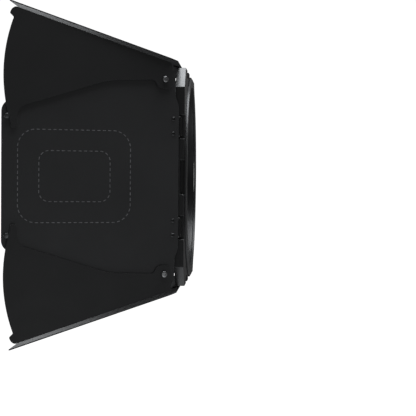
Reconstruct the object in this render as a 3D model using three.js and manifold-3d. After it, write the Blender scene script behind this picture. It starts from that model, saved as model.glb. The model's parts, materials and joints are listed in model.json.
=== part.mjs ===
// Eight-leaf barn door attachment for a round studio spotlight, folded open.
// Millimetres, +Z up. The light leaves along -Y. The near side is +X.
// The origin is the centre of the mounting ring's rear face, on the beam axis.

import * as THREE from 'three';
import { mergeVertices } from 'three/addons/utils/BufferGeometryUtils.js';
import Module from 'manifold-3d';

const wasm = await Module();
wasm.setup();

// ---- Driving dimensions -------------------------------------------------------------------

const GAP = 0.3;                      // left between pieces that touch

const OPENING_RADIUS = 136;           // clear light opening
const RING_RADIUS = 148;              // outer edge that the lamp's ears hold
const RING_THICKNESS = 3;
const RING_SCREW_CIRCLE = 142;
const RING_SCREW_BORE = 1.8;
const RING_SCREW_DEPTH = 6;           // into the frame
const RING_SCREW_HEAD_RADIUS = 3;
const RING_SCREW_HEAD_TOP = 0.1;      // below the ring's rear face
const RING_SCREW_HEAD_BASE = 1.6;
const RING_SINK_RADIUS = 3.4;
const RING_SINK_DEPTH = 1.9;

const FRAME_HALF = 153.5;             // half the width across flats
const FRAME_CHAMFER = 29;             // cut off each corner
const FRAME_THICKNESS = 13;
const EAR_NOTCH_HALF = 24;            // relief behind the middle of each side, for a lamp ear
const EAR_NOTCH_FLOOR = 140;
const EAR_NOTCH_DEPTH = 6;
const HINGE_NOTCH_HALF = 16.5;        // slot in the side that holds one hinge
const HINGE_NOTCH_FLOOR = 143;

const HINGE_RADIUS = 150;             // hinge axes from the beam axis
const HINGE_SETBACK = 8;              // hinge axes in front of the frame's rear face
const HINGE_SPREAD = 69.8;            // each hinge from the middle of its side
const PIN_RADIUS = 1.5;
const PIN_HEAD_RADIUS = 2.4;
const PIN_HEAD_HEIGHT = 1.5;
const LUG_RADIUS = 3.8;
const LUG_THICKNESS = 2.5;
const LUG_FOOT_WIDTH = 11;
const LUG_FOOT_THICKNESS = 2;
const KNUCKLE_RADIUS = 3.2;
const KNUCKLE_HALF = 10;
const FLANGE_THICKNESS = 1.2;
const FLANGE_HALF = 15;
const FLANGE_START = 3.9;             // flange along the leaf from the hinge axis
const FLANGE_END = 16;
const RIVET_SPREAD = 10;
const RIVET_RADIUS = 1.4;
const RIVET_HEAD_RADIUS = 2.5;
const RIVET_HEAD_HEIGHT = 1;

const OPEN_ANGLE = 18.3;              // leaves splay out from the beam axis
const LEAF_LIFT = 7;                  // inner face of a leaf outward of its hinge axis
const LEAF_THICKNESS = 1.5;
const WASHER_THICKNESS = 1;
const WASHER_RADIUS = 7;
const SPRING_THICKNESS = 0.6;
const WING_THICKNESS = 1.2;
const SIDE_LEAF_END = 243.3;          // front edge of a side leaf from its hinge axis
const SIDE_LEAF_HALF = 98;
const SIDE_LEAF_REAR = 2.5;           // rear edge between the ears, from the hinge axis
const SIDE_LEAF_EAR = 146;            // half-width of the part that carries the wing pivots
const SIDE_LEAF_EAR_REAR = 7.5;
const SIDE_LEAF_EAR_FRONT = 100;
const WIDE_LEAF_END = 232.5;          // front edge of the top and bottom leaves
const WIDE_LEAF_REAR = 4;
const WIDE_LEAF_REAR_HALF = 170;
const WIDE_LEAF_FRONT_HALF = 234;

const PIVOT_ALONG = 22.7;             // wing pivot from the hinge axis
const PIVOT_ACROSS = 133.3;           // wing pivot from the leaf's centreline
const PIVOT_RADIUS = 2.4;
const PIVOT_HEAD_RADIUS = 4.1;
const PIVOT_HEAD_HEIGHT = 2.2;
const PIVOT_SOCKET_RADIUS = 1.6;
const PIVOT_SOCKET_DEPTH = 1.2;
const PIVOT_NUT_RADIUS = 4.6;
const WING_RADIUS = 218.3;            // curved front edge, about the pivot
const HOOK_RADIUS = 225;              // stop hook at the wing's outer corner
const WING_TAB_ANGLE = -17;           // where the curved front edge starts and ends, from the leaf's direction
const WING_ARC_END = 19.4;
const HOOK_START = 20.9;
const HOOK_END = 22.3;
const WING_EDGE_ANGLE = 17.4;         // slope of the straight outer edge
const WING_EDGE_OFFSET = 24.5;        // straight outer edge from the pivot
const WING_LOBE_REAR = -10.4;         // rear of the round lobe behind the pivot
// Inner edge from the lobe to the tab: along the leaf, away from its centreline, corner radius.
const WING_INNER_EDGE = [[WING_LOBE_REAR, -12.5, 9], [9.5, -12.5, 8], [14.5, -0.8, 4], [75.9, -2.8, 16],
  [198, -42, 8], [200.4, -69.8, 5], [209.2, -69.8, 3.2]];
const GUIDE_RADIUS = 220.6;           // guide button from the pivot
const GUIDE_ANGLE = -14.3;
const GUIDE_SHANK_RADIUS = 1.6;
const GUIDE_HEAD_RADIUS = 3.6;
const GUIDE_HEAD_HEIGHT = 1.2;

// ---- Levels measured outward from a hinge axis --------------------------------------------

const LEAF_TOP = LEAF_LIFT + LEAF_THICKNESS;
const WASHER_BASE = LEAF_TOP + GAP;
const WING_BASE = WASHER_BASE + WASHER_THICKNESS + GAP;
const WING_TOP = WING_BASE + WING_THICKNESS;
const SPRING_BASE = WING_TOP + GAP;
const SPRING_TOP = SPRING_BASE + SPRING_THICKNESS;
const FLANGE_TOP = LEAF_LIFT - GAP;
const FLANGE_BASE = FLANGE_TOP - FLANGE_THICKNESS;
const FRAME_REAR = RING_THICKNESS + GAP;
const HINGE_DEPTH = FRAME_REAR + HINGE_SETBACK;

// ---- Finishes ------------------------------------------------------------------------------

const finish = (color, roughness, metalness) => new THREE.MeshStandardMaterial({ color, roughness, metalness });
const PAINT = () => finish(0x1c1c1e, 0.55, 0.3);
const CAST = () => finish(0x222224, 0.45, 0.4);
const STEEL = () => finish(0x9a9a9c, 0.35, 0.9);
const ZINC = () => finish(0x4a4a4c, 0.4, 0.8);
const NYLON = () => finish(0x2a2a2a, 0.7, 0);

// ---- Solids --------------------------------------------------------------------------------

const CURVE_STEPS = 5;                // straight steps that stand for one curve of an outline
const radians = THREE.MathUtils.degToRad;

function solid(geometry) {
  const bare = geometry.clone();
  bare.deleteAttribute('normal');
  bare.deleteAttribute('uv');
  const merged = mergeVertices(bare, 1e-4);
  const mesh = new wasm.Mesh({
    numProp: 3,
    vertProperties: new Float32Array(merged.attributes.position.array),
    triVerts: new Uint32Array(merged.index.array),
  });
  return new wasm.Manifold(mesh);
}

function geometryOf(manifold) {
  const mesh = manifold.getMesh();
  const geometry = new THREE.BufferGeometry();
  geometry.setAttribute('position', new THREE.BufferAttribute(mesh.vertProperties, 3));
  geometry.setIndex(new THREE.BufferAttribute(mesh.triVerts, 1));
  geometry.computeVertexNormals();
  return geometry;
}

const joined = (...pieces) => geometryOf(pieces.map(solid).reduce((all, piece) => all.add(piece)));
const cut = (body, ...tools) => geometryOf(tools.map(solid).reduce((rest, tool) => rest.subtract(tool), solid(body)));

// A flat plate: the outline lies in X and Y and the plate fills `from` to `to` along Z.
// Each hole is [x, y, radius].
function plate(outline, from, to, holes = []) {
  const apart = (point, index, all) => point.distanceTo(all[(index + 1) % all.length]) > 1e-3;
  const shape = new THREE.Shape(outline.getPoints(CURVE_STEPS).filter(apart));
  const slab = new THREE.ExtrudeGeometry(shape, { depth: to - from, bevelEnabled: false }).translate(0, 0, from);
  const bores = holes.map(([x, y, radius]) => rod(radius, from - 1, to + 1, 10).translate(x, y, 0));
  return cut(slab, ...bores);
}

// A bar along X: the outline's X and Y become the bar's Y and Z.
function bar(outline, from, to) {
  const turn = new THREE.Matrix4().makeBasis(
    new THREE.Vector3(0, 1, 0), new THREE.Vector3(0, 0, 1), new THREE.Vector3(1, 0, 0));
  return plate(outline, from, to).applyMatrix4(turn);
}

// A turned piece about Z; each profile point is [radius, height].
function turned(profile, segments = 14) {
  const points = profile.map(([radius, height]) => new THREE.Vector2(radius, height));
  return new THREE.LatheGeometry(points, segments).rotateX(Math.PI / 2);
}

const rod = (radius, from, to, segments = 12) =>
  new THREE.CylinderGeometry(radius, radius, to - from, segments).rotateX(Math.PI / 2).translate(0, 0, (from + to) / 2);

const washer = (inner, outer, from, to) =>
  turned([[inner, from], [outer, from], [outer, to], [inner, to], [inner, from]], 14);

// Continues a path through corners [x, y, radius], rounding each corner by its radius.
function through(path, corners) {
  corners.forEach(([x, y, radius = 0], index) => {
    const next = corners[index + 1];
    if (!radius || !next) {
      path.lineTo(x, y);
      return;
    }
    const corner = new THREE.Vector2(x, y);
    const before = path.currentPoint.clone().sub(corner);
    const after = new THREE.Vector2(next[0], next[1]).sub(corner);
    const entry = corner.clone().addScaledVector(before.normalize(), radius);
    const exit = corner.clone().addScaledVector(after.normalize(), radius);
    path.lineTo(entry.x, entry.y);
    path.quadraticCurveTo(x, y, exit.x, exit.y);
  });
  return path;
}

// A closed outline through rounded corners, starting in the middle of its first edge.
function outlineThrough(corners) {
  const [first, second] = corners;
  const start = [(first[0] + second[0]) / 2, (first[1] + second[1]) / 2];
  const shape = new THREE.Shape();
  shape.moveTo(...start);
  return through(shape, [...corners.slice(1), first, start]);
}

const mirrored = (half) => [...half, ...half.map(([x, y, radius]) => [-x, y, radius]).reverse()];

// ---- Assembly tree -------------------------------------------------------------------------

const barnDoor = new THREE.Group();

function place(parent, name, geometry, material) {
  const mesh = new THREE.Mesh(geometry, material);
  mesh.name = name;
  parent.add(mesh);
  return mesh;
}

// ---- Frame and mounting ring ---------------------------------------------------------------

const faceForward = (geometry) => geometry.rotateX(Math.PI / 2);
const ringScrewAngles = [45, 135, 225, 315];
const onCircle = (radius, degrees) => [radius * Math.cos(radians(degrees)), radius * Math.sin(radians(degrees))];

function frameOutline() {
  const flat = FRAME_HALF - FRAME_CHAMFER;
  const inner = HINGE_SPREAD - HINGE_NOTCH_HALF;
  const outer = HINGE_SPREAD + HINGE_NOTCH_HALF;
  const half = [[inner, FRAME_HALF], [inner, HINGE_NOTCH_FLOOR], [outer, HINGE_NOTCH_FLOOR], [outer, FRAME_HALF],
    [flat, FRAME_HALF]];
  const side = [...half.map(([x, y]) => [-x, y]).reverse(), ...half];
  const corners = [0, 1, 2, 3].flatMap((quarter) => side.map(([x, y]) =>
    new THREE.Vector2(x, y).rotateAround(new THREE.Vector2(), -quarter * Math.PI / 2)));
  return new THREE.Shape(corners);
}

function frameSolid() {
  const body = plate(frameOutline(), FRAME_REAR, FRAME_REAR + FRAME_THICKNESS);
  const opening = rod(OPENING_RADIUS, FRAME_REAR - 1, FRAME_REAR + FRAME_THICKNESS + 1, 72);
  const reliefs = [0, 1, 2, 3].map((quarter) => {
    const reach = FRAME_HALF - EAR_NOTCH_FLOOR + 1;
    const relief = new THREE.BoxGeometry(2 * EAR_NOTCH_HALF, reach, EAR_NOTCH_DEPTH + 1);
    relief.translate(0, EAR_NOTCH_FLOOR + reach / 2, FRAME_REAR + (EAR_NOTCH_DEPTH - 1) / 2);
    return relief.rotateZ(quarter * Math.PI / 2);
  });
  const threads = ringScrewAngles.map((degrees) => {
    const bore = rod(RING_SCREW_BORE, FRAME_REAR - 1, FRAME_REAR + RING_SCREW_DEPTH + 1, 10);
    return bore.translate(...onCircle(RING_SCREW_CIRCLE, degrees), 0);
  });
  return faceForward(cut(body, opening, ...reliefs, ...threads));
}

function ringSolid() {
  const disc = rod(RING_RADIUS, 0, RING_THICKNESS, 72);
  const opening = rod(OPENING_RADIUS, -1, RING_THICKNESS + 1, 72);
  const holes = ringScrewAngles.flatMap((degrees) => {
    const [x, y] = onCircle(RING_SCREW_CIRCLE, degrees);
    return [rod(RING_SCREW_BORE, -1, RING_THICKNESS + 1, 10), rod(RING_SINK_RADIUS, -1, RING_SINK_DEPTH)]
      .map((tool) => tool.translate(x, y, 0));
  });
  return faceForward(cut(disc, opening, ...holes));
}

place(barnDoor, 'frame', frameSolid(), CAST());
place(barnDoor, 'mounting_ring', ringSolid(), STEEL());

ringScrewAngles.forEach((degrees, index) => {
  const tip = FRAME_REAR + RING_SCREW_DEPTH;
  const profile = [[0, RING_SCREW_HEAD_TOP], [RING_SCREW_HEAD_RADIUS, RING_SCREW_HEAD_TOP],
    [RING_SCREW_HEAD_RADIUS, RING_SCREW_HEAD_BASE], [PIN_RADIUS, RING_SCREW_HEAD_BASE], [PIN_RADIUS, tip], [0, tip]];
  const screw = turned(profile).translate(...onCircle(RING_SCREW_CIRCLE, degrees), 0);
  place(barnDoor, `ring_screw_${index + 1}`, faceForward(screw), ZINC());
});

// ---- Hinge pieces: X runs along the hinge axis, Y forward along the leaf, Z outward --------

const pinBore = () => rod(PIN_RADIUS + GAP, -20, 20, 10).rotateY(Math.PI / 2);

function lugSolid() {
  const base = HINGE_NOTCH_FLOOR - HINGE_RADIUS + GAP;
  const ear = new THREE.Shape();
  ear.moveTo(-LUG_RADIUS, base);
  ear.lineTo(LUG_RADIUS, base);
  ear.lineTo(LUG_RADIUS, 0);
  ear.absarc(0, 0, LUG_RADIUS, 0, Math.PI);
  ear.closePath();
  const near = KNUCKLE_HALF + GAP;
  const far = near + LUG_THICKNESS;
  const foot = new THREE.BoxGeometry(2 * far, LUG_FOOT_WIDTH, LUG_FOOT_THICKNESS);
  foot.translate(0, -0.5, base + LUG_FOOT_THICKNESS / 2);
  return cut(joined(foot, bar(ear, near, far), bar(ear, -far, -near)), pinBore());
}

function knuckleSolid() {
  const barrel = new THREE.Shape();
  barrel.moveTo(-0.5, FLANGE_TOP);
  barrel.lineTo(5, FLANGE_TOP);
  barrel.lineTo(5, FLANGE_BASE);
  barrel.lineTo(KNUCKLE_RADIUS, 4);
  barrel.lineTo(KNUCKLE_RADIUS, 0);
  barrel.absarc(0, 0, KNUCKLE_RADIUS, 0, -Math.PI, true);
  barrel.lineTo(-KNUCKLE_RADIUS, 3.5);
  barrel.closePath();
  const flange = outlineThrough(mirrored([[FLANGE_HALF, FLANGE_START], [FLANGE_HALF, FLANGE_END, 3]]));
  const rivets = [-RIVET_SPREAD, RIVET_SPREAD].map((x) => {
    const head = WASHER_BASE;
    const profile = [[0, FLANGE_BASE + 0.4], [RIVET_RADIUS, FLANGE_BASE + 0.4], [RIVET_RADIUS, head],
      [RIVET_HEAD_RADIUS, head], [RIVET_HEAD_RADIUS, head + 0.4], [RIVET_HEAD_RADIUS - 0.9, head + RIVET_HEAD_HEIGHT],
      [0, head + RIVET_HEAD_HEIGHT]];
    return turned(profile, 8).translate(x, RIVET_SPREAD, 0);
  });
  const bracket = joined(bar(barrel, -KNUCKLE_HALF, KNUCKLE_HALF), plate(flange, FLANGE_BASE, FLANGE_TOP), ...rivets);
  return cut(bracket, pinBore());
}

function pinSolid() {
  const head = KNUCKLE_HALF + GAP + LUG_THICKNESS + GAP;
  const profile = [[0, -head - 0.8], [1.1, -head - 0.8], [PIN_RADIUS, -head - 0.4], [PIN_RADIUS, head],
    [PIN_HEAD_RADIUS, head], [PIN_HEAD_RADIUS, head + 0.9], [PIN_HEAD_RADIUS - 0.6, head + PIN_HEAD_HEIGHT],
    [0, head + PIN_HEAD_HEIGHT]];
  return turned(profile, 10).rotateY(Math.PI / 2);
}

// ---- Leaves: X runs across the leaf, Y forward from the hinge axis, Z outward --------------

const rivetHoles = [-HINGE_SPREAD, HINGE_SPREAD].flatMap((hinge) =>
  [-RIVET_SPREAD, RIVET_SPREAD].map((rivet) => [hinge + rivet, RIVET_SPREAD, RIVET_RADIUS + GAP]));
const pivotHoles = [-1, 1].map((side) => [side * PIVOT_ACROSS, PIVOT_ALONG, PIVOT_RADIUS + GAP]);

function sideLeafSolid() {
  const outline = outlineThrough(mirrored([
    [SIDE_LEAF_HALF, SIDE_LEAF_REAR, 2], [SIDE_LEAF_HALF + 14, SIDE_LEAF_EAR_REAR, 2],
    [SIDE_LEAF_EAR, SIDE_LEAF_EAR_REAR, 8], [SIDE_LEAF_EAR, SIDE_LEAF_EAR_FRONT, 12],
    [SIDE_LEAF_HALF, SIDE_LEAF_END - 6, 3], [SIDE_LEAF_HALF - 7, SIDE_LEAF_END, 6]]));
  return plate(outline, LEAF_LIFT, LEAF_TOP, [...rivetHoles, ...pivotHoles]);
}

function wideLeafSolid() {
  const outline = outlineThrough(mirrored([
    [WIDE_LEAF_REAR_HALF - 9, WIDE_LEAF_REAR, 3], [WIDE_LEAF_REAR_HALF, WIDE_LEAF_REAR + 10, 5],
    [WIDE_LEAF_FRONT_HALF, WIDE_LEAF_END, 3]]));
  return plate(outline, LEAF_LIFT, LEAF_TOP, rivetHoles);
}

// A wing's outline about its pivot: the first number runs along the leaf, the second away from
// its centreline, and `side` is +1 on the half of the leaf where X is positive.
function wingSolid(side) {
  const at = ([along, across, radius]) => [along, -side * across, radius];
  const polar = (radius, degrees, corner) => at([...onCircle(radius, degrees), corner]);
  const edge = (distance, corner) => {
    const [along, across] = onCircle(1, WING_EDGE_ANGLE);
    return at([distance * along - WING_EDGE_OFFSET * across, distance * across + WING_EDGE_OFFSET * along, corner]);
  };
  const outline = new THREE.Shape();
  const start = at([WING_LOBE_REAR, 5]);
  outline.moveTo(...start);
  through(outline, [...WING_INNER_EDGE.map(at), polar(WING_RADIUS, WING_TAB_ANGLE)]);
  const sweepStep = (WING_ARC_END - WING_TAB_ANGLE) / 3;
  for (let third = 0; third < 3; third += 1) {
    const sweep = [third, third + 1].map((step) => -side * radians(WING_TAB_ANGLE + step * sweepStep));
    outline.absarc(0, 0, WING_RADIUS, ...sweep, side > 0);
  }
  through(outline, [
    polar(WING_RADIUS, HOOK_START - 0.8, 1), polar(HOOK_RADIUS, HOOK_START, 1.5), polar(HOOK_RADIUS, HOOK_END, 2.5),
    edge(220.6, 3), edge(-3.2, 4), start]);
  return plate(outline, WING_BASE, WING_TOP, [[0, 0, PIVOT_RADIUS + GAP]]);
}

function pivotScrewSolid() {
  const head = SPRING_TOP + GAP;
  const top = head + PIVOT_HEAD_HEIGHT;
  return turned([[0, FLANGE_BASE], [PIVOT_RADIUS, FLANGE_BASE], [PIVOT_RADIUS, head], [PIVOT_HEAD_RADIUS, head],
    [PIVOT_HEAD_RADIUS, top - 0.7], [PIVOT_HEAD_RADIUS - 0.8, top], [PIVOT_SOCKET_RADIUS, top],
    [PIVOT_SOCKET_RADIUS, top - PIVOT_SOCKET_DEPTH], [0, top - PIVOT_SOCKET_DEPTH]]);
}

function pivotNutSolid() {
  const hexagon = new THREE.Shape();
  for (let corner = 0; corner < 6; corner += 1) {
    const [x, y] = onCircle(PIVOT_NUT_RADIUS, 60 * corner);
    if (corner) hexagon.lineTo(x, y);
    else hexagon.moveTo(x, y);
  }
  hexagon.closePath();
  return plate(hexagon, FLANGE_BASE, FLANGE_TOP, [[0, 0, PIVOT_RADIUS + GAP]]);
}

function guideButtonSolid() {
  const head = WING_TOP + GAP;
  const top = head + GUIDE_HEAD_HEIGHT;
  return turned([[0, WASHER_BASE], [GUIDE_SHANK_RADIUS, WASHER_BASE], [GUIDE_SHANK_RADIUS, head],
    [GUIDE_HEAD_RADIUS, head], [GUIDE_HEAD_RADIUS, top - 0.6], [GUIDE_HEAD_RADIUS - 0.8, top], [0, top]]);
}

// ---- The four sides ------------------------------------------------------------------------

// Each side is built as the +X side and turned about the beam axis.
const hingeAxes = new THREE.Matrix4().makeBasis(
  new THREE.Vector3(0, 0, 1), new THREE.Vector3(0, -1, 0), new THREE.Vector3(1, 0, 0));

function addSide(name, quarter) {
  const side = new THREE.Group();
  side.rotation.y = -quarter * Math.PI / 2;
  const hinge = new THREE.Group();
  hinge.position.set(HINGE_RADIUS, -HINGE_DEPTH, 0);
  hinge.quaternion.setFromRotationMatrix(hingeAxes);
  const leaf = new THREE.Group();
  leaf.rotation.x = radians(OPEN_ANGLE);
  barnDoor.add(side);
  side.add(hinge);
  hinge.add(leaf);
  [-1, 1].forEach((end, index) => {
    const number = index + 1;
    const x = end * HINGE_SPREAD;
    place(hinge, `${name}_hinge_lug_${number}`, lugSolid(), CAST()).position.x = x;
    place(hinge, `${name}_hinge_pin_${number}`, pinSolid(), STEEL()).position.x = x;
    place(leaf, `${name}_hinge_knuckle_${number}`, knuckleSolid(), ZINC()).position.x = x;
  });
  return leaf;
}

function addWing(leaf, name, side) {
  const pivot = new THREE.Group();
  pivot.position.set(side * PIVOT_ACROSS, PIVOT_ALONG, 0);
  leaf.add(pivot);
  const wing = place(pivot, `${name}_wing`, wingSolid(side), PAINT());
  wing.rotation.z = Math.PI / 2;
  place(pivot, `${name}_pivot_screw`, pivotScrewSolid(), ZINC());
  place(pivot, `${name}_pivot_nut`, pivotNutSolid(), ZINC());
  const friction = washer(PIVOT_RADIUS + GAP, WASHER_RADIUS, WASHER_BASE, WING_BASE - GAP);
  place(pivot, `${name}_friction_washer`, friction, NYLON());
  const spring = washer(PIVOT_RADIUS + GAP, PIVOT_HEAD_RADIUS - 0.3, SPRING_BASE, SPRING_TOP);
  place(pivot, `${name}_spring_washer`, spring, STEEL());
  const [along, across] = onCircle(GUIDE_RADIUS, GUIDE_ANGLE);
  const button = place(pivot, `${name}_guide_button`, guideButtonSolid(), ZINC());
  button.position.set(side * across, along, 0);
}

const wideLeaves = [['top', 1], ['bottom', 3]];
for (const [name, quarter] of wideLeaves) {
  place(addSide(name, quarter), `${name}_leaf`, wideLeafSolid(), PAINT());
}

// On the far side the hinge axis runs downward, so its upper wing is on the negative half.
const sideLeaves = [['near', 0, 1], ['far', 2, -1]];
for (const [name, quarter, upper] of sideLeaves) {
  const leaf = addSide(name, quarter);
  place(leaf, `${name}_leaf`, sideLeafSolid(), PAINT());
  addWing(leaf, `${name}_upper`, upper);
  addWing(leaf, `${name}_lower`, -upper);
}

export default barnDoor;
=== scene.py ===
"""Barn door attachment: the looks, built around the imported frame. Metres, +Z up, light leaves along -Y."""

import json
import math

import bmesh
import bpy
from mathutils import Matrix, Vector


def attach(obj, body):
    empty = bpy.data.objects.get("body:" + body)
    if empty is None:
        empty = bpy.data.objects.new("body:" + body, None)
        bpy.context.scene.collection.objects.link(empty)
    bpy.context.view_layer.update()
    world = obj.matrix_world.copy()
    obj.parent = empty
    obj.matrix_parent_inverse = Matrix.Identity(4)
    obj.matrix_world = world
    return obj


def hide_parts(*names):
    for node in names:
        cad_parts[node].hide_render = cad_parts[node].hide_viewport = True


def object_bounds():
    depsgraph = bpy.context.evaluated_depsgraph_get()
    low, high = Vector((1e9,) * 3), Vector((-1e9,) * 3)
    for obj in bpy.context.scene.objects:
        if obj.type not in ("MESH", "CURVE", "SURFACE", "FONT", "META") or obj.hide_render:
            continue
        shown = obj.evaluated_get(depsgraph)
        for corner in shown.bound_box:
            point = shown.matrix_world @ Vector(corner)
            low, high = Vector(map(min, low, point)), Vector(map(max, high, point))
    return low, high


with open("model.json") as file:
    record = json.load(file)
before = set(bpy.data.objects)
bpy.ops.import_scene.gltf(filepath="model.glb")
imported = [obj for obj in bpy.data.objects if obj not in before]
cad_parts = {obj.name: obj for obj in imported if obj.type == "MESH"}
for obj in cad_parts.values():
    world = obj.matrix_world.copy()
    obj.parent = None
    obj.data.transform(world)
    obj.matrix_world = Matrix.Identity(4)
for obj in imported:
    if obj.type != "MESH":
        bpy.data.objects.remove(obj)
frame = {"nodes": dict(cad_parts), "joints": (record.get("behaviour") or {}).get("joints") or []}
cad_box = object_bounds()

MM = 0.001
NODES = frame["nodes"]
JOINTS = {joint["name"]: joint for joint in frame["joints"]}

# How far the leaves splay out: the wings fold about their side leaf's normal.
OPEN_ANGLE = math.asin(abs(JOINTS["near_upper_wing_fold"]["axis"][1]))

# Sizes of the turned hardware and the perforation slot marks, in millimetres. Their places come from the
# joints and nodes.
RIVET_SPREAD, RIVET_RADIUS, RIVET_HEIGHT = 10.0, 2.75, 1.25
PIVOT_HEAD_RADIUS, PIVOT_HEAD_HEIGHT, PIVOT_SHANK, PIVOT_SOCKET = 4.1, 2.2, 2.4, 4.4
PIVOT_BORE, SPRING_RADIUS, WASHER_RADIUS = 2.7, 3.8, 7.0
GUIDE_HEAD_RADIUS, GUIDE_HEAD_HEIGHT, GUIDE_SHANK = 3.6, 1.2, 1.6
PIN_RADIUS, PIN_HEAD_RADIUS, PIN_HEAD_HEIGHT = 1.5, 2.4, 1.5
RING_HEAD_RADIUS, RING_HEAD_HEIGHT, RING_SHANK, RING_SOCKET = 3.0, 1.5, 1.5, 2.6
HEAD_EDGE, HEAD_CROWN = 0.15, 0.6             # under a head, and from its top down to its straight side
SCREW_CHAMFER, PIN_CHAMFER = 0.3, 0.4
SOCKET_DEPTH = 0.6                            # as a part of the head's height
RIVET_LIFT = 0.05
MARK_WIDTH, MARK_LENGTH, MARK_PITCH = 1.1, 4.4, 7.4
MARK_LIFT, MARK_THICKNESS = 0.04, 0.08
MARK_PLACE = 0.6                              # centre, as a part of the leaf's length
MARK_OUTLINES = ((62, 76, 24), (34, 48, 14))  # half across, half along, corner radius

# Degrees between faces from which an edge is rounded, or is shaded sharp.
BEVEL_ANGLE, CAD_SHARP_ANGLE, HARDWARE_SHARP_ANGLE = 32.0, 50.0, 35.0
# Metres within which points are joined: on the imported meshes, and on the turned ones.
WELD_DISTANCE, MERGE_DISTANCE = 1e-5, 1e-7


# ---- Camera ---------------------------------------------------------------------------------

def add_camera():
    """The photograph's view: from the near side, a little behind the frame, level with the beam."""
    distance, behind = 1.664, 0.0795
    focal_px, frame_px = 1095.0, 416.0
    yaw, pitch, roll = math.radians(1.877), math.radians(1.60), math.radians(0.48)
    data = bpy.data.cameras.new("camera")
    data.sensor_width = 36.0
    data.lens = focal_px / frame_px * data.sensor_width
    data.clip_end = 50.0
    camera = bpy.data.objects.new("camera", data)
    forward = Vector((-1.0, -math.tan(yaw), -math.tan(pitch))).normalized()
    right = forward.cross(Vector((0, 0, 1))).normalized()
    up = right.cross(forward)
    turn = Matrix((right, up, -forward)).transposed().to_4x4()
    camera.matrix_world = Matrix.Translation((distance, behind, 0)) @ turn @ Matrix.Rotation(roll, 4, "Z")
    bpy.context.collection.objects.link(camera)
    bpy.context.scene.camera = camera


# ---- Node helpers ---------------------------------------------------------------------------

class Nodes:
    """Adds shader nodes to one material, with their sockets set by name."""

    def __init__(self, name):
        self.material = bpy.data.materials.new(name)
        self.material.use_nodes = True
        self.tree = self.material.node_tree
        self.shader = self.tree.nodes["Principled BSDF"]
        self.place = self.tree.nodes.new("ShaderNodeTexCoord").outputs["Object"]

    def add(self, kind, inputs=None, **settings):
        node = self.tree.nodes.new(kind)
        for key, value in settings.items():
            setattr(node, key, value)
        for key, value in (inputs or {}).items():
            if hasattr(value, "links"):
                self.tree.links.new(value, node.inputs[key])
            else:
                node.inputs[key].default_value = value
        return node

    def set(self, **values):
        for key, value in values.items():
            self.shader.inputs[key.replace("_", " ")].default_value = value

    def link(self, output, socket):
        self.tree.links.new(output, self.shader.inputs[socket])

    def noise(self, scale, detail=3.0, roughness=0.5, stretch=None):
        place = self.place
        if stretch:
            place = self.add("ShaderNodeMapping", {"Vector": place, "Scale": stretch}).outputs["Vector"]
        inputs = {"Vector": place, "Scale": scale, "Detail": detail, "Roughness": roughness}
        return self.add("ShaderNodeTexNoise", inputs).outputs["Fac"]

    def span(self, value, low, high, start=0.3, stop=0.7):
        inputs = {"Value": value, "From Min": start, "From Max": stop, "To Min": low, "To Max": high}
        return self.add("ShaderNodeMapRange", inputs).outputs["Result"]

    def mix(self, factor, first, second):
        node = self.add("ShaderNodeMix", data_type="RGBA")
        # A colour mix has its factor on input 0, its colours on 6 and 7, and its result on output 2.
        for index, value in ((0, factor), (6, first), (7, second)):
            if hasattr(value, "links"):
                self.tree.links.new(value, node.inputs[index])
            else:
                node.inputs[index].default_value = value
        return node.outputs[2]

    def edges(self, radius, low, high):
        """1 on sharp edges and 0 on flat stretches, from how far a rounded normal turns away."""
        rounded = self.add("ShaderNodeBevel", {"Radius": radius}, samples=4).outputs["Normal"]
        plain = self.add("ShaderNodeNewGeometry").outputs["Normal"]
        dot = self.add("ShaderNodeVectorMath", operation="DOT_PRODUCT")
        self.tree.links.new(rounded, dot.inputs[0])
        self.tree.links.new(plain, dot.inputs[1])
        return self.span(dot.outputs["Value"], 1.0, 0.0, low, high)

    def bump(self, height, strength, distance):
        inputs = {"Height": height, "Strength": strength, "Distance": distance}
        self.link(self.add("ShaderNodeBump", inputs).outputs["Normal"], "Normal")


def grey(value, blue=1.04):
    """A grey, by default with a trace of blue."""
    return (value, value, value * blue, 1.0)


# ---- Materials ------------------------------------------------------------------------------

def powder_coat(name, tone):
    """Fine matt black powder coat on sheet metal, rubbed lighter along its edges."""
    m = Nodes(name)
    rubbed_tone = 0.085
    grain = m.noise(1400.0, detail=2.0, roughness=0.6)
    cloud = m.noise(9.0, detail=4.0, roughness=0.55)
    scuffs = m.noise(60.0, detail=5.0, roughness=0.6, stretch=(1.0, 0.25, 1.0))
    base = m.mix(m.span(cloud, 0.0, 1.0), grey(0.8 * tone), grey(1.2 * tone))
    speckled = m.mix(m.span(grain, 0.0, 0.35, start=0.55, stop=0.75), base, grey(2.2 * tone))
    worn = m.add("ShaderNodeMath", operation="MULTIPLY")
    m.tree.links.new(m.edges(radius=0.0006, low=0.80, high=0.97), worn.inputs[0])
    m.tree.links.new(m.span(scuffs, 0.1, 0.75, start=0.42, stop=0.62), worn.inputs[1])
    m.link(m.mix(worn.outputs[0], speckled, grey(rubbed_tone)), "Base Color")
    m.link(m.span(m.noise(25.0, detail=5.0), 0.50, 0.56), "Roughness")
    m.set(Specular_IOR_Level=0.38)
    m.bump(grain, strength=0.22, distance=0.0003)
    return m.material


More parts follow.
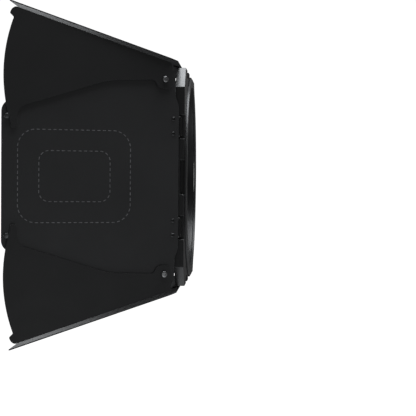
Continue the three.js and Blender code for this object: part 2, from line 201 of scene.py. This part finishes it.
def anodised(name, tone, rough, specular):
    """Satin black anodised metal with faint machining lines and rubbed edges."""
    m = Nodes(name)
    lines = m.noise(220.0, roughness=0.6, stretch=(1.0, 14.0, 1.0))
    grain = m.noise(900.0, detail=2.0)
    cloud = m.noise(14.0, detail=4.0)
    base = m.mix(m.span(cloud, 0.0, 1.0), grey(tone * 0.8), grey(tone * 1.2))
    rubbed = m.mix(m.edges(radius=0.0007, low=0.80, high=0.96), base, grey(tone * 5.0))
    m.link(rubbed, "Base Color")
    m.link(m.span(lines, rough - 0.03, rough + 0.05), "Roughness")
    m.set(Specular_IOR_Level=specular)
    m.bump(m.mix(0.5, lines, grain), strength=0.02, distance=0.0001)
    return m.material


def metal(name, tone, rough, stretch=(1.0, 1.0, 1.0)):
    """Plated or brushed steel with fine scratches and a little tarnish."""
    m = Nodes(name)
    scratches = m.noise(700.0, detail=4.0, roughness=0.65, stretch=stretch)
    tarnish = m.noise(120.0, detail=4.0)
    base = m.mix(m.span(tarnish, 0.0, 1.0), grey(tone * 0.75, blue=1.0), grey(tone * 1.15, blue=1.02))
    polished = grey(min(1.0, tone * 1.8), blue=1.0)
    m.link(m.mix(m.edges(radius=0.0004, low=0.75, high=0.96), base, polished), "Base Color")
    m.set(Metallic=1.0)
    m.link(m.span(scratches, rough - 0.08, rough + 0.1), "Roughness")
    m.bump(scratches, strength=0.1, distance=0.0001)
    return m.material


def painted_slot_light():
    """Slightly patchy light grey for the perforation slots: painted light, standing for the lit inner faces
    seen through them.
    """
    m = Nodes("painted_slot_light_grey")
    patches = m.noise(420.0, detail=4.0, roughness=0.6)
    m.link(m.mix(m.span(patches, 0.0, 1.0), grey(0.07), grey(0.15)), "Base Color")
    m.link(m.span(m.noise(90.0), 0.5, 0.65), "Roughness")
    return m.material


def nylon():
    """Matt black moulded nylon."""
    m = Nodes("nylon")
    grain = m.noise(1100.0)
    m.link(m.mix(m.span(grain, 0.0, 1.0), grey(0.018), grey(0.032)), "Base Color")
    m.link(m.span(m.noise(200.0), 0.55, 0.7), "Roughness")
    m.bump(grain, strength=0.15, distance=0.0002)
    return m.material


def paint(piece, material):
    """Gives a piece this material alone."""
    piece.data.materials.clear()
    piece.data.materials.append(material)


# ---- Mesh helpers ---------------------------------------------------------------------------

def leaf_place(side):
    """From a leaf's own axes (across, along, outward; millimetres at its hinge axis) to the row frame."""
    verb = "close" if side in ("near", "far") else "open"
    joint = JOINTS[f"{side}_leaf_{verb}"]
    origin = Vector(joint["pos_m"])
    outward = Vector((origin.x, 0, origin.z)).normalized()
    forward = Vector((0, -1, 0))
    along = math.cos(OPEN_ANGLE) * forward + math.sin(OPEN_ANGLE) * outward
    normal = math.cos(OPEN_ANGLE) * outward - math.sin(OPEN_ANGLE) * forward
    turn = Matrix((along.cross(normal), along, normal)).transposed().to_4x4()
    return Matrix.Translation(origin) @ turn @ Matrix.Scale(MM, 4)


def hinge_place(side):
    """As leaf_place, but square to the frame: for the pieces that don't turn with the leaf."""
    return leaf_place(side) @ Matrix.Rotation(-OPEN_ANGLE, 4, "X")


def box_in(place, node):
    """A node's lowest and highest corners in the axes of a placement."""
    back = place.inverted()
    spots = [back @ vertex.co for vertex in NODES[node].data.vertices]
    return [Vector(pick(spot[axis] for spot in spots) for axis in range(3)) for pick in (min, max)]


def stand_on(place, node):
    """The placement moved to a turned node's own axis, with the node's lowest and highest level."""
    low, high = box_in(place, node)
    return place @ Matrix.Translation(((low.x + high.x) / 2, (low.y + high.y) / 2, 0)), low.z, high.z


def finish_mesh(name, bm, body, material, painted_socket_shade=None):
    """Makes a piece of a mesh, riding on a body. Faces of material index 1 take the near-black material that
    paints the shade inside a socket.
    """
    bmesh.ops.remove_doubles(bm, verts=bm.verts, dist=MERGE_DISTANCE)
    bmesh.ops.recalc_face_normals(bm, faces=bm.faces)
    mesh = bpy.data.meshes.new(name)
    bm.to_mesh(mesh)
    bm.free()
    mesh.shade_smooth()
    mesh.set_sharp_from_angle(angle=math.radians(HARDWARE_SHARP_ANGLE))
    piece = bpy.data.objects.new(name, mesh)
    bpy.context.collection.objects.link(piece)
    paint(piece, material)
    if painted_socket_shade:
        piece.data.materials.append(painted_socket_shade)
    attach(piece, body)
    return piece


def spun(bm, profile, place, steps=40, closed=True):
    """Adds a turned solid: a profile of (radius, height) about Z, closed on itself unless told not to be."""
    rings = []
    for radius, height in profile:
        if radius < 1e-6:
            rings.append([bm.verts.new(place @ Vector((0, 0, height)))])
            continue
        angles = [2 * math.pi * step / steps for step in range(steps)]
        rings.append([bm.verts.new(place @ Vector((radius * math.cos(a), radius * math.sin(a), height)))
                      for a in angles])
    for lower, upper in zip(rings, rings[1:] + (rings[:1] if closed else [])):
        if len(lower) == 1 and len(upper) == 1:
            continue
        for step in range(steps):
            after = (step + 1) % steps
            corners = [lower[step % len(lower)], lower[after % len(lower)],
                       upper[after % len(upper)], upper[step % len(upper)]]
            bm.faces.new(list(dict.fromkeys(corners)))  # a point on the axis counts once


def domed(radius, base, height, rim=0.12, side=0.3, steps=6):
    """Profile of a domed head: flat underneath, a straight side as a part of its height, then a round top."""
    profile = [(0, base), (radius - rim, base), (radius, base + rim), (radius, base + height * side)]
    for step in range(1, steps + 1):
        angle = math.pi / 2 * step / steps
        profile.append((radius * math.cos(angle), base + height * (side + (1 - side) * math.sin(angle))))
    return profile[:-1] + [(0, base + height)]


def crowned(radius, base, top, inset, drop, land):
    """Profile of a head's side and its round upper edge, by way of one point between side and flat top."""
    return [(radius - HEAD_EDGE, base), (radius, base + HEAD_EDGE), (radius, top - HEAD_CROWN),
            (radius - inset, top - drop), (radius - land, top)]


def ring(inner, outer, low, high, rim):
    """Profile of a flat washer with rounded edges, closed on itself."""
    return [(inner, low + rim), (inner + rim, low), (outer - rim, low), (outer, low + rim),
            (outer, high - rim), (outer - rim, high), (inner + rim, high), (inner, high - rim)]


# ---- Sheet-metal pieces that keep their CAD shape -------------------------------------------

def smooth_by_angle(limit):
    """A node group that shades faces smooth and keeps edges steeper than the limit sharp."""
    tree = bpy.data.node_groups.new("smooth_by_angle", "GeometryNodeTree")
    for direction in ("INPUT", "OUTPUT"):
        tree.interface.new_socket("Geometry", in_out=direction, socket_type="NodeSocketGeometry")
    start, end = tree.nodes.new("NodeGroupInput"), tree.nodes.new("NodeGroupOutput")
    faces, edges = [tree.nodes.new("GeometryNodeSetShadeSmooth") for _ in range(2)]
    edges.domain = "EDGE"
    angle = tree.nodes.new("GeometryNodeInputMeshEdgeAngle")
    gentle = tree.nodes.new("FunctionNodeCompare")
    gentle.operation = "LESS_THAN"
    gentle.inputs[1].default_value = math.radians(limit)
    for source, target in ((start.outputs[0], faces.inputs["Geometry"]),
                           (faces.outputs[0], edges.inputs["Geometry"]),
                           (angle.outputs["Unsigned Angle"], gentle.inputs[0]),
                           (gentle.outputs[0], edges.inputs["Shade Smooth"]),
                           (edges.outputs[0], end.inputs[0])):
        tree.links.new(source, target)
    return tree


def round_edges(piece, width, segments, smooth):
    """Joins the imported faces, rounds the sharp edges and shades curves smooth, by modifiers alone."""
    weld = piece.modifiers.new("join", "WELD")
    weld.merge_threshold = WELD_DISTANCE
    bevel = piece.modifiers.new("edges", "BEVEL")
    bevel.width = width
    bevel.segments = segments
    bevel.limit_method = "ANGLE"
    bevel.angle_limit = math.radians(BEVEL_ANGLE)
    piece.modifiers.new("smooth", "NODES").node_group = smooth
    normals = piece.modifiers.new("normals", "WEIGHTED_NORMAL")
    normals.keep_sharp = True


def slot_outline(width, length, steps=4):
    """Points of a slot with round ends, lying along X."""
    reach = (length - width) / 2
    points = []
    for end, start in ((1, -90), (-1, 90)):
        for step in range(steps + 1):
            angle = math.radians(start + 180 * step / steps)
            points.append((end * reach + width / 2 * math.cos(angle), width / 2 * math.sin(angle)))
    return points


def rounded_rectangle(half_x, half_y, radius, pitch):
    """Evenly spaced (x, y, direction) stations round a rectangle with round corners."""
    straight_x, straight_y, turn = 2 * (half_x - radius), 2 * (half_y - radius), math.pi / 2 * radius
    legs = [(straight_x, (half_x, half_y), 180), (straight_y, (-half_x, half_y), 270),
            (straight_x, (-half_x, -half_y), 0), (straight_y, (half_x, -half_y), 90)]
    total = 2 * (straight_x + straight_y) + 4 * turn
    count = round(total / pitch)
    stations = []
    for index in range(count):
        travel = (index + 0.5) * total / count
        for length, corner, heading in legs:
            way = Vector((math.cos(math.radians(heading)), math.sin(math.radians(heading))))
            left = Vector((-way.y, way.x))
            start = Vector(corner) + way * radius
            if travel <= length:
                point = start + way * travel
                stations.append((point.x, point.y, math.radians(heading)))
                break
            travel -= length
            if travel <= turn:
                angle = travel / radius
                centre = start + way * length + left * radius
                out = -left * math.cos(angle) + way * math.sin(angle)
                stations.append((*(centre + out * radius), math.radians(heading) + angle))
                break
            travel -= turn
    return stations


def leaf_marks(side, material):
    """Two dashed outlines of perforation slots on a side leaf's outer face, as thin films coloured with
    painted light.
    """
    place = leaf_place(side)
    corner = box_in(place, f"{side}_leaf")[1]
    levels = corner.z + MARK_LIFT, corner.z + MARK_LIFT + MARK_THICKNESS
    bm = bmesh.new()
    for half_across, half_along, radius in MARK_OUTLINES:
        for x, y, heading in rounded_rectangle(half_across, half_along, radius, MARK_PITCH):
            turn = Matrix.Translation((x, MARK_PLACE * corner.y + y, 0)) @ Matrix.Rotation(heading, 4, "Z")
            rings = [[bm.verts.new(place @ turn @ Vector((px, py, height)))
                      for px, py in slot_outline(MARK_WIDTH, MARK_LENGTH)] for height in levels]
            bm.faces.new(list(reversed(rings[0])))
            bm.faces.new(rings[1])
            for index, spot in enumerate(rings[0]):
                after = (index + 1) % len(rings[0])
                bm.faces.new([spot, rings[0][after], rings[1][after], rings[1][index]])
    finish_mesh(f"{side}_leaf_dashes", bm, f"{side}_leaf", material)


# ---- Turned hardware ------------------------------------------------------------------------

def screw_head(bm, place, head, shank, tip, socket):
    """A round-edged head (radius, base, height) with a hexagonal socket, on a plain shank."""
    steps = 36
    radius, base, height = head
    top = base + height
    shaft = [(0, tip), (shank - SCREW_CHAMFER, tip), (shank, tip + SCREW_CHAMFER), (shank, base)]
    spun(bm, shaft + crowned(radius, base, top, inset=0.2, drop=0.22, land=0.6), place, steps, closed=False)
    bm.verts.ensure_lookup_table()
    outer = list(bm.verts)[-steps:]
    corner = socket / math.sqrt(3)
    corners = [(corner * math.cos(math.radians(60 * k)), corner * math.sin(math.radians(60 * k)))
               for k in range(6)]
    rim, floor = [[bm.verts.new(place @ Vector((x, y, level))) for x, y in corners]
                  for level in (top, top - SOCKET_DEPTH * height)]
    per_side = steps // 6
    for k in range(6):
        after = (k + 1) % 6
        for step in range(per_side):
            first, second = outer[k * per_side + step], outer[(k * per_side + step + 1) % steps]
            bm.faces.new([first, second, rim[k] if step < per_side / 2 else rim[after]])
        bm.faces.new([outer[k * per_side + per_side // 2], rim[after], rim[k]])
        # The socket's walls and floor take material index 1, a near-black that paints the shade inside the
        # socket.
        bm.faces.new([rim[k], rim[after], floor[after], floor[k]]).material_index = 1
    bm.faces.new(floor).material_index = 1


def wing_hardware(side, level, materials):
    """Pivot screw, washers and guide button of one wing, in place of their nodes."""
    name, body, leaf = f"{side}_{level}", f"{side}_leaf", leaf_place(side)
    pivot, low, high = stand_on(leaf, f"{name}_pivot_screw")
    bm = bmesh.new()
    head = (PIVOT_HEAD_RADIUS, high - PIVOT_HEAD_HEIGHT, PIVOT_HEAD_HEIGHT)
    screw_head(bm, pivot, head, PIVOT_SHANK, low, PIVOT_SOCKET)
    screw = finish_mesh(f"{name}_pivot_screw_head", bm, body, materials["zinc"],
                        painted_socket_shade=materials["painted_socket_shade"])
    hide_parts(f"{name}_pivot_screw")
    for kind, radius, rim, material, slot in (("spring_washer", SPRING_RADIUS, 0.1, "bright", "bright_steel"),
                                              ("friction_washer", WASHER_RADIUS, 0.2, "nylon", "nylon")):
        centre, low, high = stand_on(leaf, f"{name}_{kind}")
        bm = bmesh.new()
        spun(bm, ring(PIVOT_BORE, radius, low, high, rim), centre)
        washer = finish_mesh(f"{name}_{kind}_turned", bm, body, materials[material])
        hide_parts(f"{name}_{kind}")
    centre, low, high = stand_on(leaf, f"{name}_guide_button")
    head = high - GUIDE_HEAD_HEIGHT
    bm = bmesh.new()
    spun(bm, [(0, low), (GUIDE_SHANK, low), (GUIDE_SHANK, head)]
         + domed(GUIDE_HEAD_RADIUS, head, GUIDE_HEAD_HEIGHT)[1:], centre)
    button = finish_mesh(f"{name}_guide_button_turned", bm, body, materials["dark"])
    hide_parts(f"{name}_guide_button")


def hinge_hardware(side, materials):
    """Domed rivet heads on the leaf, and turned hinge pins in the frame lugs."""
    leaf, hinge = leaf_place(side), hinge_place(side)
    face = box_in(leaf, f"{side}_leaf")[1].z
    bm = bmesh.new()
    for number in (1, 2):
        low, high = box_in(leaf, f"{side}_hinge_knuckle_{number}")
        for rivet in (-RIVET_SPREAD, RIVET_SPREAD):
            spot = leaf @ Matrix.Translation(((low.x + high.x) / 2 + rivet, RIVET_SPREAD, 0))
            spun(bm, domed(RIVET_RADIUS, face + RIVET_LIFT, RIVET_HEIGHT), spot)
    finish_mesh(f"{side}_rivet_heads", bm, f"{side}_leaf", materials["dark"])
    for number in (1, 2):
        low, high = box_in(hinge, f"{side}_hinge_pin_{number}")
        tip, top = low.x, high.x
        head = top - PIN_HEAD_HEIGHT
        shaft = [(0, tip), (PIN_RADIUS - PIN_CHAMFER, tip), (PIN_RADIUS, tip + PIN_CHAMFER),
                 (PIN_RADIUS, head)]
        profile = shaft + crowned(PIN_HEAD_RADIUS, head, top, inset=0.3, drop=0.15, land=0.9) + [(0, top)]
        bm = bmesh.new()
        spun(bm, profile, hinge @ Matrix.Rotation(math.pi / 2, 4, "Y"), steps=32)
        pin = finish_mesh(f"{side}_hinge_pin_turned_{number}", bm, "frame", materials["bright"])
        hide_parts(f"{side}_hinge_pin_{number}")


def ring_screws(material, painted_socket_shade):
    """Socket screws sunk into the mounting ring from behind."""
    # These axes have their own Z pointing back towards the lamp.
    behind = Matrix.Scale(MM, 4) @ Matrix.Rotation(-math.pi / 2, 4, "X")
    for number in (1, 2, 3, 4):
        centre, low, high = stand_on(behind, f"ring_screw_{number}")
        bm = bmesh.new()
        head = (RING_HEAD_RADIUS, high - RING_HEAD_HEIGHT, RING_HEAD_HEIGHT)
        screw_head(bm, centre, head, RING_SHANK, low, RING_SOCKET)
        screw = finish_mesh(f"ring_screw_head_{number}", bm, "frame", material, painted_socket_shade=painted_socket_shade)
        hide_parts(f"ring_screw_{number}")


# ---- Stage ----------------------------------------------------------------------------------

def add_stage():
    """A pale seamless floor well below the object, and soft studio light."""
    floor_size, floor_drop, floor_tone = 60.0, 1.6, 0.6
    world_on_object, world_to_camera = 0.15, 1.05
    scene = bpy.context.scene
    scene.view_settings.view_transform = "Standard"
    bpy.ops.mesh.primitive_plane_add(size=floor_size, location=(0, 0, cad_box[0].z - floor_drop))
    floor = bpy.context.object
    floor.name = "floor"
    material = bpy.data.materials.new("floor")
    material.use_nodes = True
    tree = material.node_tree
    shader = tree.nodes["Principled BSDF"]
    shader.inputs["Base Color"].default_value = grey(floor_tone, blue=1.0)
    shader.inputs["Roughness"].default_value = 0.9
    shader.inputs["Specular IOR Level"].default_value = 0.1
    shader.inputs["Emission Color"].default_value = (1, 1, 1, 1)
    # The floor glows for the camera alone, so that it is white in the picture but lights nothing.
    path = tree.nodes.new("ShaderNodeLightPath")
    tree.links.new(path.outputs["Is Camera Ray"], shader.inputs["Emission Strength"])
    floor.data.materials.append(material)

    world = bpy.data.worlds.new("world")
    scene.world = world
    world.use_nodes = True
    nodes, links = world.node_tree.nodes, world.node_tree.links
    background = nodes["Background"]
    path = nodes.new("ShaderNodeLightPath")
    strength = nodes.new("ShaderNodeMapRange")
    links.new(path.outputs["Is Camera Ray"], strength.inputs["Value"])
    strength.inputs["To Min"].default_value = world_on_object
    strength.inputs["To Max"].default_value = world_to_camera
    links.new(strength.outputs["Result"], background.inputs["Strength"])
    background.inputs["Color"].default_value = (1, 1, 1, 1)


def add_light(name, place, target, size, power):
    """A soft rectangular light, aimed at the target."""
    data = bpy.data.lights.new(name, "AREA")
    data.shape = "RECTANGLE"
    data.size, data.size_y = size
    data.energy = power
    data.color = (0.94, 0.97, 1.0)
    light = bpy.data.objects.new(name, data)
    light.location = place
    light.rotation_euler = (Vector(target) - Vector(place)).to_track_quat("-Z", "Y").to_euler()
    light.visible_camera = False
    bpy.context.collection.objects.link(light)


# ---- Build ----------------------------------------------------------------------------------

add_camera()
smooth = smooth_by_angle(CAD_SHARP_ANGLE)
coat = powder_coat("leaf_powder_coat", 0.0128)
wing_coat = powder_coat("wing_powder_coat", 0.0058)
cast = anodised("frame_anodised", 0.005, 0.34, 0.5)
ring_finish = anodised("ring_anodised", 0.012, 0.36, 0.5)
# The fifth metal is near-black: painted shade for the insides of the screw sockets.
hardware = {"dark": metal("black_zinc", 0.08, 0.4), "zinc": metal("grey_zinc", 0.22, 0.32),
            "bright": metal("steel", 0.42, 0.3), "painted_socket_shade": metal("painted_socket_shade", 0.006, 0.6), "nylon": nylon()}
# The dashes' light grey is painted light: the lit inner faces seen through the perforation slots.
slot_light_material = painted_slot_light()
knuckle_finish = metal("knuckle_zinc", 0.022, 0.45, stretch=(1.0, 1.0, 6.0))

# What a node's name holds, its material, and the width in millimetres and the steps of its rounded edges.
finishes = (("_wing", wing_coat, 0.25, 2), ("_leaf", coat, 0.25, 2), ("frame", cast, 0.7, 3),
            ("mounting_ring", ring_finish, 0.3, 2), ("lug", cast, 0.3, 2),
            ("knuckle", knuckle_finish, 0.2, 2), ("", hardware["dark"], 0.15, 2))
for name, piece in NODES.items():
    material, width, segments = next(finish for part, *finish in finishes if part in name)
    paint(piece, material)
    round_edges(piece, width * MM, segments, smooth)

for side in ("near", "far"):
    leaf_marks(side, slot_light_material)
    for level in ("upper", "lower"):
        wing_hardware(side, level, hardware)
for side in ("near", "far", "top", "bottom"):
    hinge_hardware(side, hardware)
ring_screws(hardware["dark"], hardware["painted_socket_shade"])

add_stage()
# Each light's place, aim and size are in metres, and its power is in watts.
add_light("overhead", (0.2, 0.1, 1.9), (0, -0.05, 0), (1.6, 1.2), 74)
add_light("front", (0.0, -0.7, 0.0), (0, 0, 0), (0.5, 0.3), 2.2)
add_light("far", (-1.3, -1.0, 0.0), (0, -0.3, 0), (1.0, 0.9), 4.3)
add_light("fill", (2.2, 0.9, -0.9), (0, -0.1, 0), (1.4, 1.0), 6.4)
add_light("below", (0.3, 0.1, -1.5), (0, -0.05, 0), (1.6, 1.2), 6)
